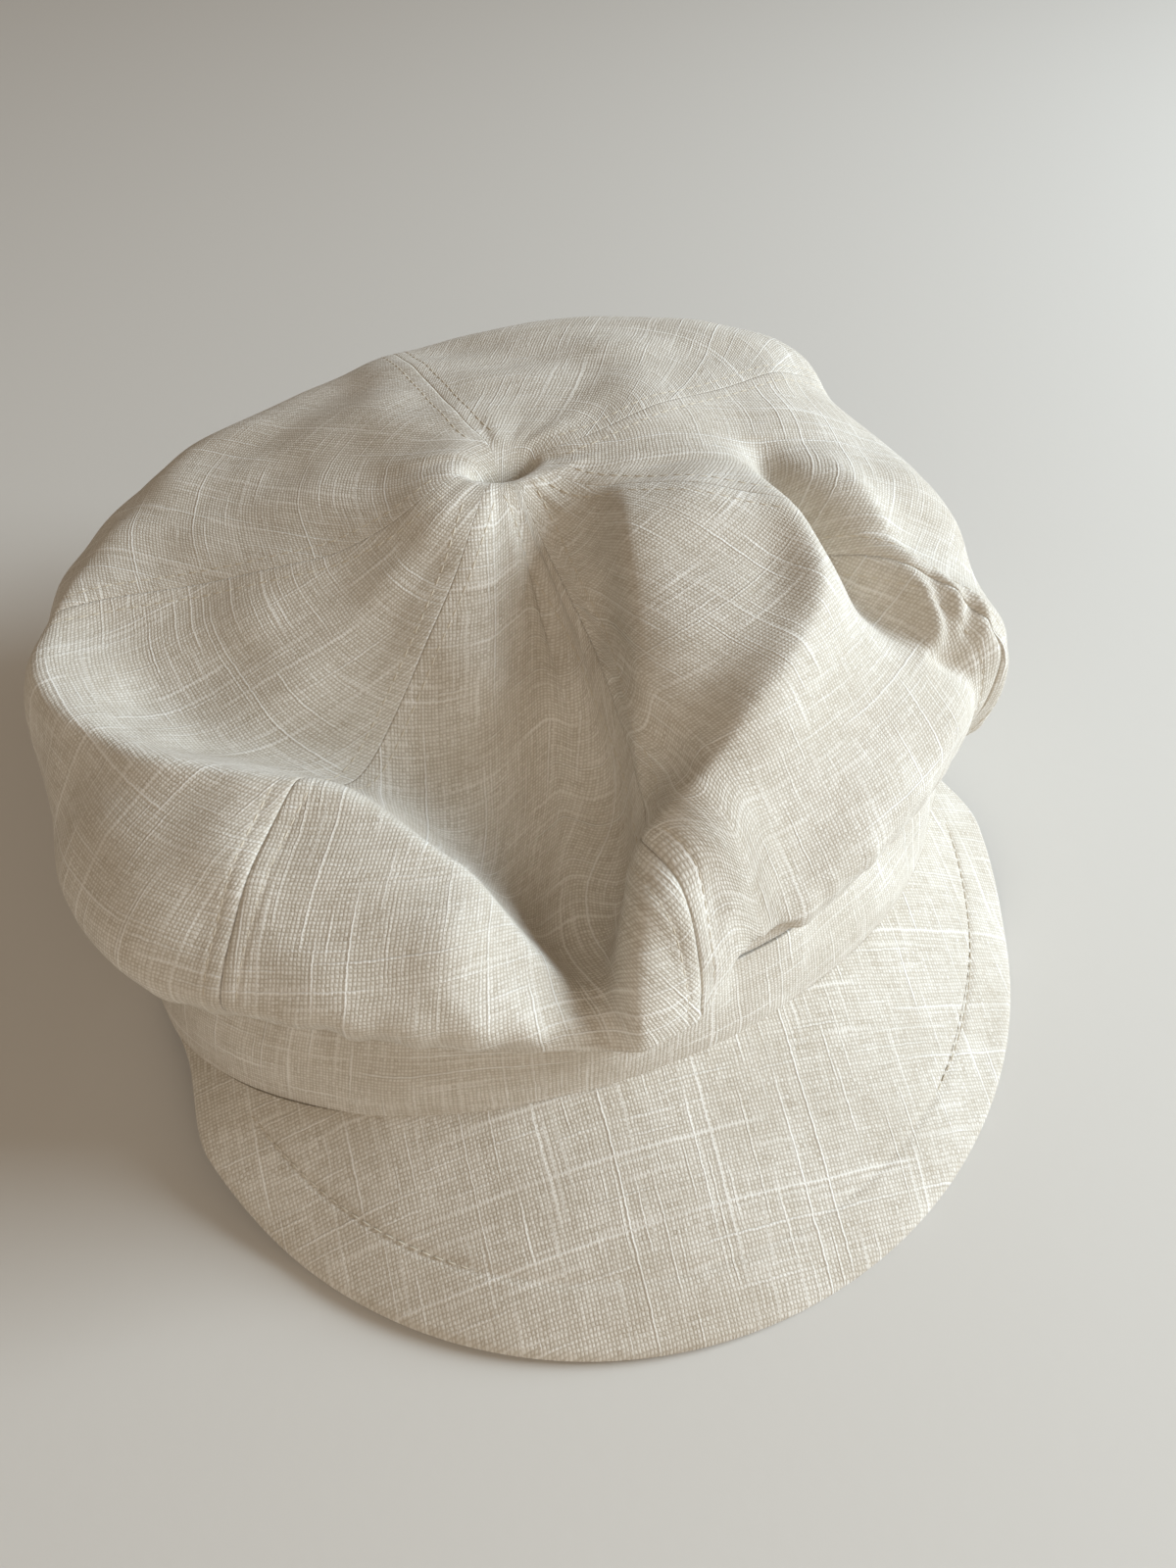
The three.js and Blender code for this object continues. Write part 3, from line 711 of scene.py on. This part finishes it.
def slub_linen(name, ground, slub, gap):
    """Slub linen, woven plain from unbleached flax. It gives the eye a dry, matt surface with a fine
    uneven grain, pale thick slubs both ways and faint warm clouds."""
    material, tree = new_material(name)
    cloth = add(tree, "UVMap", uv_map="cloth")
    metric = add(tree, "Mapping", {"Vector": cloth, "Scale": (UV_UNIT,) * 3})
    wandered = metric
    for scale, detail, reach in CLOTH_WANDER:
        noise = add(tree, "TexNoise", {"Vector": metric, "Scale": scale, "Detail": detail},
                    noise_dimensions="2D")
        shift = add(tree, "VectorMath", (noise.outputs["Color"], (0.5, 0.5, 0.5)), operation="SUBTRACT")
        wandered = add(tree, "VectorMath", (shift, (reach, reach, 0.0), wandered), operation="MULTIPLY_ADD")
    split = add(tree, "SeparateXYZ", (wandered,))
    u, v = split.outputs[0], split.outputs[1]

    turns = [add(tree, "Math", (place, math.pi / THREAD_PITCH), operation="MULTIPLY") for place in (u, v)]
    waves = [add(tree, "Math", (turn,), operation="SINE") for turn in turns]
    weave = add(tree, "Math", waves, operation="MULTIPLY")
    swell = add(tree, "Math", (weave,), operation="ABSOLUTE")
    on_top = add(tree, "MapRange", (weave, -0.25, 0.25, 0.0, 1.0), interpolation_type="SMOOTHSTEP")
    tone = add(tree, "Mix", {0: on_top, 2: thread_tones(tree, v, u, 17.0), 3: thread_tones(tree, u, v, 3.0)})
    slubs = 0.0
    for spacing, length, width, rarity, strength, seed in SLUBS:
        for across, along, turn in ((u, v, 0.0), (v, u, 500.0)):
            lines = slub_lines(tree, across, along, spacing, length, width, rarity, seed + turn)
            slubs = add(tree, "Math", (slubs, add(tree, "Math", (lines, strength), operation="MULTIPLY")),
                        operation="MAXIMUM")

    light = add(tree, "Math", (tone, 1.2, add(tree, "Math", (swell, 0.55), operation="MULTIPLY")),
                operation="MULTIPLY_ADD")
    shade = add(tree, "MapRange", (light, 0.25, 1.2, 0.0, 1.0))
    threads = add(tree, "Mix", {0: shade, 6: gap, 7: ground}, data_type="RGBA").outputs[2]
    colour = add(tree, "Mix", {0: slubs, 6: threads, 7: slub}, data_type="RGBA").outputs[2]
    cloud = add(tree, "TexNoise", {"Vector": metric, "Scale": 0.05, "Detail": 3.0}, noise_dimensions="2D")
    warmth = add(tree, "MapRange", (cloud, 0.35, 0.65, 0.0, 0.22))
    colour = add(tree, "Mix", {0: warmth, 6: colour, 7: gap}, data_type="RGBA").outputs[2]

    fuzz = add(tree, "TexNoise", {"Vector": metric, "Scale": 2.2, "Detail": 3.0, "Roughness": 0.7},
               noise_dimensions="2D")
    relief = add(tree, "Math", (fuzz, 0.3), operation="MULTIPLY")
    for part, height in ((swell, 0.3), (slubs, 0.5), (tone, 0.5)):
        relief = add(tree, "Math", (part, height, relief), operation="MULTIPLY_ADD")
    bump = add(tree, "Bump", {"Strength": 1.0, "Distance": 0.32 * MM, "Height": relief})
    shader = add(tree, "BsdfPrincipled", {
        "Base Color": colour, "Normal": bump, "Roughness": 0.9, "Specular IOR Level": 0.2,
        "Sheen Weight": 0.12, "Sheen Roughness": 0.5})
    add(tree, "OutputMaterial", {"Surface": shader})
    return material


def dress(piece, material, node=None):
    """Gives a piece its finish and hides the frame's node that it stands for."""
    piece.data.materials.append(material)
    if node:
        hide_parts(node)


# Settings

def length_property(name, description, default):
    """A length that a user may change."""
    return bpy.props.FloatProperty(name=name, description=description, default=default, unit="LENGTH")


class CapSizes(bpy.types.PropertyGroup):
    band_half_width: length_property(
        "Band half width", "Half of the band's outside, side to side", (BAND_HIGH[0] - BAND_LOW[0]) / 2)
    band_half_length: length_property(
        "Band half length", "Half of the band's outside, front to back", (BAND_HIGH[1] - BAND_LOW[1]) / 2)
    band_height: length_property("Band height", "Height of the band's strip", 27 * MM)
    band_wall: length_property("Band wall", "Thickness of the band", 3 * MM)
    front_lift: length_property(
        "Front lift", "How far the visor holds the band's front off the floor", 25 * MM)
    flat_reach: length_property("Flat reach", "Where the band starts to lift, behind its middle", 28 * MM)
    crown_top: length_property("Crown top", "Height of the crown's top over the floor", 107 * MM)
    crown_overhang: length_property(
        "Crown overhang", "How far the crown's back hangs past the band", 50 * MM)
    top_centre_x: length_property("Dimple sideways", "The dimple's place from the band's middle", 5 * MM)
    top_centre_y: length_property("Dimple backwards", "The dimple's place from the band's middle", 35 * MM)
    dimple_radius: length_property("Dimple radius", "Half width of the gathered dimple", 8 * MM)
    dimple_depth: length_property("Dimple depth", "Depth of the gathered dimple", 17 * MM)
    visor_radius: length_property("Visor radius", "Radius of the visor's edge", 110 * MM)
    visor_forward: length_property(
        "Visor forward", "How far that edge's centre is ahead of the band's", 20 * MM)
    visor_wall: length_property("Visor wall", "Thickness of the stiffened visor", 3 * MM)
    stitch_length: length_property("Stitch length", "Length of one topstitch", 2.4 * MM)


def colour_property(name, description, code):
    """A colour that a user may change, with its default as sRGB hex."""
    return bpy.props.FloatVectorProperty(
        name=name, description=description, subtype="COLOR", size=4, min=0, max=1, default=linear(code))


class CapColours(bpy.types.PropertyGroup):
    ground: colour_property("Ground", "The linen's ground threads", "#E2DDD3")
    slub: colour_property("Slub", "The thick pale slubs", "#F2EFE8")
    gap: colour_property("Gap", "The weave's shaded gaps", "#ACA08D")
    # Painted shade: the thread is drawn darker than the linen to stand for the shadowed holes where the
    # stitches go into the cloth
    thread: colour_property("Thread", "The cotton sewing thread", "#C9BFAD")
    floor: colour_property("Floor", "The pale board that the cap lies on", "#CFCBC4")


def shared_linen(colours):
    """The one linen that every cloth piece is cut from."""
    known = bpy.data.materials.get("slub_linen_cream")
    return known or slub_linen("slub_linen_cream", colours.ground, colours.slub, colours.gap)


CLOTH_WALL = 1.2


class CAP_OT_crown(bpy.types.Operator):
    """Sews the crown's six panels, draped in the folds that the cap lies in"""
    bl_idname = "cap.crown"
    bl_label = "Crown panels"

    def execute(self, context):
        size = Sizes(context.scene.cap_sizes)
        crown = Crown(size)
        linen = shared_linen(context.scene.cap_colours)
        for name in CROWN_PANELS:
            piece = grid_object(f"crown_cloth_{name}", PANEL_COLUMNS, PANEL_ROWS, panel_place(crown, name))
            thicken(piece, CLOTH_WALL)
            dress(piece, linen, f"crown_panel_{name}")
        return {"FINISHED"}


# The band's section is a ring with square-shouldered faces, which leans in by a curve and waves a
# little: height, wavelength and seed
BAND_STEPS = 360
BAND_ROWS = 26
BAND_SQUARENESS = 0.56
BAND_LEAN_CURVE = 1.3
BAND_WAVE, BAND_WAVELENGTH, BAND_SEED = 0.4, 26, 12


class CAP_OT_band(bpy.types.Operator):
    """Sews the plain band as a soft upright strip"""
    bl_idname = "cap.band"
    bl_label = "Band"

    def execute(self, context):
        size = Sizes(context.scene.cap_sizes)
        girth = 2 * math.pi * math.sqrt((size.band_half_width ** 2 + size.band_half_length ** 2) / 2)
        wall = size.band_wall

        def place(u, v):
            turn = (2 * u - 1) * math.pi
            ring = v * 2 * math.pi
            rise = np.clip(0.5 + BAND_SQUARENESS * np.sin(ring), 0, 1)
            height = size.band_height * rise
            x, y = size.band_half_width * np.sin(turn), -size.band_half_length * np.cos(turn)
            lean = size.band_lean(size.crown_azimuth(x, y)) * rise ** BAND_LEAN_CURVE
            wave = BAND_WAVE * ripples(x, y, height, BAND_WAVELENGTH, BAND_SEED) * np.sin(math.pi * rise)
            inset = wall / 2 * (1 - np.cos(ring)) + lean - wave
            x, y = x - inset * np.sin(turn), y + inset * np.cos(turn)
            z = size.band_bottom(y) + height
            return np.stack([x, y, z], -1), np.stack([height + BAND_CLOTH_PLACE, u * girth], -1)

        piece = grid_object("band_cloth", BAND_STEPS, BAND_ROWS * 2, place)
        weld(piece)
        dress(piece, shared_linen(context.scene.cap_colours), "band")
        return {"FINISHED"}


WELD_DISTANCE = 0.005


def weld(piece):
    """Merges the edges of a sheet that was rolled up, so that it closes."""
    bm = bmesh.new()
    bm.from_mesh(piece.data)
    bmesh.ops.remove_doubles(bm, verts=bm.verts, dist=WELD_DISTANCE * MM)
    bmesh.ops.recalc_face_normals(bm, faces=bm.faces)
    bm.to_mesh(piece.data)
    bm.free()


# The visor reaches this many degrees either side of the front, narrows from the taper's angle on,
# and touches the floor up to the touch's. Its seam is tucked in and stands up from the band's edge.
VISOR_COLUMNS = 300
VISOR_ROWS = 120
VISOR_SPAN = 94
VISOR_TAPER = 76
VISOR_TOUCH = 58
VISOR_TIP_WIDTH = 0.08
VISOR_DROOP = 1.15
VISOR_SEAM_RISE = 1
VISOR_TUCKED = 1.2

# The topstitching's inset from the visor's edge, and the dip it pulls in: depth, half width and the
# visor's widths between which it comes up
VISOR_STITCH_INSET = 12.5
VISOR_DIP, VISOR_DIP_WIDTH = 0.5, 0.7
DIP_WIDTHS = (14, 22)

# The visor's slight wave: height, wavelength and seed, and the angles between which it dies out
VISOR_WAVE, VISOR_WAVELENGTH, VISOR_SEED = 0.5, 70, 21
WAVE_ANGLES = (40, 60)

# The turn of the visor's threads, where its ends start to round off, and the shares of its section
# at which the edge's nose starts and ends and the face on the seam starts
VISOR_GRAIN = 10
VISOR_TIP = 0.985
NOSE_START, NOSE_END, SEAM_FACE = 0.45, 0.55, 0.975


def visor_edges(size, turn):
    """The visor's seam and outer edge in plan, with their heights, at an angle from the front."""
    edge = np.stack([size.visor_radius * np.sin(turn),
                     -size.visor_forward - size.visor_radius * np.cos(turn)], -1)
    place = np.arctan2(edge[..., 0] / size.band_half_width, -edge[..., 1] / size.band_half_length)
    seam = np.stack([(size.band_half_width - VISOR_TUCKED) * np.sin(place),
                     -(size.band_half_length - VISOR_TUCKED) * np.cos(place)], -1)
    taper = smooth(np.abs(np.degrees(turn)), VISOR_TAPER, VISOR_SPAN)
    edge = edge + (seam - edge) * ((1 - VISOR_TIP_WIDTH) * taper)[..., None]
    seam_height = size.band_bottom(seam[..., 1]) + VISOR_SEAM_RISE
    edge_height = seam_height * smooth(np.abs(np.degrees(turn)), VISOR_TOUCH, VISOR_SPAN)
    return seam, edge, seam_height, edge_height


def visor_face(size, turn, reach):
    """The visor's underside at shares of the way from its seam to its edge."""
    seam, edge, seam_height, edge_height = visor_edges(size, turn)
    plan = seam + (edge - seam) * reach[..., None]
    height = seam_height + (edge_height - seam_height) * np.clip(reach, 0, 1) ** VISOR_DROOP
    return plan, height


class CAP_OT_visor(bpy.types.Operator):
    """Shapes the stiffened visor, wrapped in linen with a rounded edge"""
    bl_idname = "cap.visor"
    bl_label = "Visor"

    def execute(self, context):
        size = Sizes(context.scene.cap_sizes)
        wall = size.visor_wall

        def place(u, v):
            turn = np.radians(VISOR_SPAN * (2 * u - 1))
            seam, edge, _, _ = visor_edges(size, turn)
            width = np.maximum(np.linalg.norm(edge - seam, axis=-1), 0.5)
            nose = np.minimum(wall / 2 / width, 0.4)
            bend = np.pi * np.interp(v, [NOSE_START, NOSE_END], [0, 1])
            run = np.interp(v, [0, NOSE_START, NOSE_END, SEAM_FACE, 1], [0, 1, 1, 0, 0])
            reach = run * (1 - nose) + nose * np.sin(bend)
            plan, height = visor_face(size, turn, reach)
            level = np.where(v > SEAM_FACE, np.interp(v, [SEAM_FACE, 1], [-1, 1]), np.cos(bend))
            inset = (1 - reach) * width
            dip = VISOR_DIP * np.exp(-(((inset - VISOR_STITCH_INSET) / VISOR_DIP_WIDTH) ** 2))
            dip = dip * smooth(width, *DIP_WIDTHS)
            z = height + wall / 2 * (1 + level) - np.where(v < NOSE_START, dip, 0)
            points = np.concatenate([plan, z[..., None]], -1)
            middle_plan, middle_height = visor_face(size, turn, np.full(u.shape, 0.5))
            middle = np.concatenate([middle_plan, (middle_height + wall / 2)[..., None]], -1)
            tip = np.clip((np.abs(2 * u - 1) - VISOR_TIP) / (1 - VISOR_TIP), 0, 1)
            points = middle + (points - middle) * np.sqrt(1 - tip ** 2)[..., None]
            wave = VISOR_WAVE * ripples(plan[:, 0], plan[:, 1], 0 * plan[:, 0], VISOR_WAVELENGTH, VISOR_SEED)
            points[..., 2] += wave * smooth(reach, 0, 0.4) * smooth(z, 2, 8) * (
                1 - smooth(np.abs(np.degrees(turn)), *WAVE_ANGLES))
            return points, turn_cloth(plan, VISOR_GRAIN) + VISOR_CLOTH_PLACE

        piece = grid_object("visor_cloth", VISOR_COLUMNS, VISOR_ROWS, place)
        weld(piece)
        dress(piece, shared_linen(context.scene.cap_colours), "visor")
        return {"FINISHED"}


# Topstitching

STITCH_WIDTH = 0.45
STITCH_HEIGHT = 0.378
STITCH_GAP = 0.5
STITCH_ENDS = (0.12, 0.88)
STITCH_OVERLAP = 1.05
STITCH_FROM = 0.14
STITCH_TO = 0.955


def stitch_row(total, points, normals, length):
    """Lays rounded stitches end to end along a line on the cloth, and adds them to a whole."""
    bm = bmesh.new()
    steps = np.linalg.norm(np.diff(points, axis=0), axis=1)
    place = np.concatenate([[0], np.cumsum(steps)])
    pitch = length + STITCH_GAP
    for k in range(int(place[-1] / pitch)):
        ends = [(k + share) * pitch for share in STITCH_ENDS]
        a, b = (np.array([np.interp(e, place, points[:, i]) for i in range(3)]) for e in ends)
        n = np.array([np.interp(sum(ends) / 2, place, normals[:, i]) for i in range(3)])
        along = Vector(b - a).normalized()
        side = Vector(n).cross(along).normalized()
        turn = Matrix((along, side, along.cross(side))).transposed().to_4x4()
        grow = Matrix.Diagonal((length / 2 * STITCH_OVERLAP, STITCH_WIDTH / 2, STITCH_HEIGHT / 2, 1))
        spot = Matrix.Translation(Vector((a + b) / 2))
        bmesh.ops.create_uvsphere(bm, u_segments=6, v_segments=5, radius=1, matrix=spot @ turn @ grow)
    row = mesh_from(bm, "row")
    total.from_mesh(row)
    bpy.data.meshes.remove(row)


# Wave scale of the thread's twist, which comes to a turn of about 0.35 mm
THREAD_TWIST = 900.0


def cotton_thread(colour):
    """Twisted cotton sewing thread. It gives the eye a matt, faintly ribbed line, drawn darker than the
    linen: that darkness is painted shade for the shadowed holes where the stitches go into the cloth."""
    material, tree = new_material("cotton_thread")
    place = add(tree, "TexCoord").outputs["Object"]
    twist = add(tree, "TexWave", {"Vector": place, "Scale": THREAD_TWIST, "Distortion": 1.0},
                bands_direction="DIAGONAL")
    bump = add(tree, "Bump", {"Strength": 0.4, "Distance": 0.1 * MM, "Height": twist.outputs["Fac"]})
    shader = add(tree, "BsdfPrincipled", {
        "Base Color": colour, "Normal": bump, "Roughness": 0.85, "Specular IOR Level": 0.3})
    add(tree, "OutputMaterial", {"Surface": shader})
    return material


# Noise scale of the board's tooth, which comes to lumps of about 4 mm
BOARD_TOOTH = 260.0


def pale_board(colour):
    """Painted board. It gives the eye a pale, matt, even ground with a faint tooth."""
    material, tree = new_material("matt_pale_board")
    place = add(tree, "TexCoord").outputs["Object"]
    tooth = add(tree, "TexNoise", {"Vector": place, "Scale": BOARD_TOOTH, "Detail": 3.0})
    bump = add(tree, "Bump", {"Strength": 0.15, "Distance": 0.2 * MM, "Height": tooth})
    shader = add(tree, "BsdfPrincipled", {"Base Color": colour, "Normal": bump, "Roughness": 0.8})
    add(tree, "OutputMaterial", {"Surface": shader})
    return material


# How far the stitches sink under the crown's and the visor's face, and the visor row's reach in
# degrees from the front
CROWN_STITCH_SUNK = 0.04
VISOR_STITCH_SUNK = 0.3
VISOR_STITCH_SPAN = 78


class CAP_OT_stitching(bpy.types.Operator):
    """Sews the topstitching along the crown's seams and the visor's edge"""
    bl_idname = "cap.stitching"
    bl_label = "Topstitching"

    def execute(self, context):
        size = Sizes(context.scene.cap_sizes)
        crown = Crown(size)
        bm = bmesh.new()
        share = np.linspace(STITCH_FROM, STITCH_TO, 240)
        for name in CROWN_PANELS:
            seam = seam_azimuth(name, share)
            radius = np.maximum(crown.at(crown.radial, seam, share)[..., 0], 3)
            for side in (-1, 1):
                azimuth = seam + side * np.degrees(STITCH_INSET / radius)
                normal = crown.at(crown.normals, azimuth, share)
                sunk = seam_relief(np.full(share.shape, STITCH_INSET)) * seam_strength(radius, share)
                points = crown.at(crown.points, azimuth, share) + normal * (sunk[:, None] - CROWN_STITCH_SUNK)
                stitch_row(bm, points, normal, size.stitch_length)
        self.finish(bm, "crown_topstitching", "crown_linen", context)

        bm = bmesh.new()
        turn = np.radians(np.linspace(-VISOR_STITCH_SPAN, VISOR_STITCH_SPAN, 400))
        seam, edge, _, _ = visor_edges(size, turn)
        width = np.linalg.norm(edge - seam, axis=-1)
        reach = 1 - np.minimum(VISOR_STITCH_INSET / width, 0.7)
        plan, height = visor_face(size, turn, reach)
        points = np.concatenate([plan, (height + size.visor_wall - VISOR_STITCH_SUNK)[:, None]], -1)
        normals = np.tile([0.0, 0.0, 1.0], (len(points), 1))
        stitch_row(bm, points, normals, size.stitch_length)
        self.finish(bm, "visor_topstitching", "visor_linen", context)
        return {"FINISHED"}

    def finish(self, bm, name, slot, context):
        """Makes the stitches of a whole one piece of cotton thread."""
        mesh = mesh_from(bm, name)
        mesh.transform(Matrix.Translation(BAND_MIDDLE) @ Matrix.Scale(MM, 4))
        piece = finish_mesh(name, mesh)
        material = bpy.data.materials.get("cotton_thread") or cotton_thread(context.scene.cap_colours.thread)
        dress(piece, material)


# Stage

# The camera stands at the photo's angle and distance, in millimetres from the band's middle
CAMERA_FROM = (-73.6, -171.0, 255.0)
CAMERA_TOWARDS = (0.2818, 0.5777, -0.7660)
CAMERA_LENS = 25.9
CAMERA_SENSOR = 36

# Lamps: place and target in millimetres from the band's middle, width in metres, power and colour
LAMPS = {
    "window": ((1280, -420, 670), (0, 0, 50), 0.68, 35.0, (0.78, 0.90, 1.0)),
    "room_fill": ((-350, -900, 560), (0, 0, 40), 1.2, 4.0, (1.0, 0.90, 0.79)),
}
ROOM_COLOUR = "#F4DFC6"
ROOM_STRENGTH = 0.29
FLOOR_HALF = 3.0


class CAP_OT_stage(bpy.types.Operator):
    """Sets the pale floor, the soft window light from the right and the camera"""
    bl_idname = "cap.stage"
    bl_label = "Stage"

    def execute(self, context):
        scene = context.scene
        bm = bmesh.new()
        bmesh.ops.create_grid(bm, x_segments=1, y_segments=1, size=FLOOR_HALF)
        floor = put_in_scene("floor", mesh_from(bm, "floor"))
        floor.data.materials.append(pale_board(scene.cap_colours.floor))

        for name, values in LAMPS.items():
            self.lamp(name, *values)
        world = bpy.data.worlds.new("studio")
        world.use_nodes = True
        back = world.node_tree.nodes["Background"]
        back.inputs["Color"].default_value = linear(ROOM_COLOUR)
        back.inputs["Strength"].default_value = ROOM_STRENGTH
        scene.world = world

        camera = put_in_scene("camera", bpy.data.cameras.new("camera"))
        camera.data.lens = CAMERA_LENS
        camera.data.sensor_width = CAMERA_SENSOR
        camera.location = BAND_MIDDLE + Vector(CAMERA_FROM) * MM
        camera.rotation_euler = Vector(CAMERA_TOWARDS).to_track_quat("-Z", "Y").to_euler()
        scene.camera = camera
        scene.view_settings.view_transform = "Standard"
        return {"FINISHED"}

    def lamp(self, name, place, target, width, power, colour):
        """Hangs a soft square light and turns it to its target."""
        light = bpy.data.lights.new(name, "AREA")
        light.size = width
        light.energy = power
        light.color = colour
        lamp = put_in_scene(name, light)
        lamp.location = BAND_MIDDLE + Vector(place) * MM
        aim = Vector(target) * MM - Vector(place) * MM
        lamp.rotation_euler = aim.to_track_quat("-Z", "Y").to_euler()


class CAP_PT_panel(bpy.types.Panel):
    bl_label = "Slub linen cap"
    bl_idname = "CAP_PT_panel"
    bl_space_type = "VIEW_3D"
    bl_region_type = "UI"
    bl_category = "Cap"

    def draw(self, context):
        for settings in (context.scene.cap_sizes, context.scene.cap_colours):
            for name in setting_names(settings):
                self.layout.prop(settings, name)
        for operator in OPERATORS:
            self.layout.operator(operator.bl_idname)


OPERATORS = (CAP_OT_crown, CAP_OT_band, CAP_OT_visor, CAP_OT_stitching, CAP_OT_stage)
CLASSES = (CapSizes, CapColours) + OPERATORS + (CAP_PT_panel,)


def register():
    for item in CLASSES:
        bpy.utils.register_class(item)
    bpy.types.Scene.cap_sizes = bpy.props.PointerProperty(type=CapSizes)
    bpy.types.Scene.cap_colours = bpy.props.PointerProperty(type=CapColours)


def unregister():
    del bpy.types.Scene.cap_colours
    del bpy.types.Scene.cap_sizes
    for item in reversed(CLASSES):
        bpy.utils.unregister_class(item)


def main():
    register()
    bpy.ops.cap.crown()
    bpy.ops.cap.band()
    bpy.ops.cap.visor()
    bpy.ops.cap.stitching()
    bpy.ops.cap.stage()


if __name__ == "__main__":
    main()
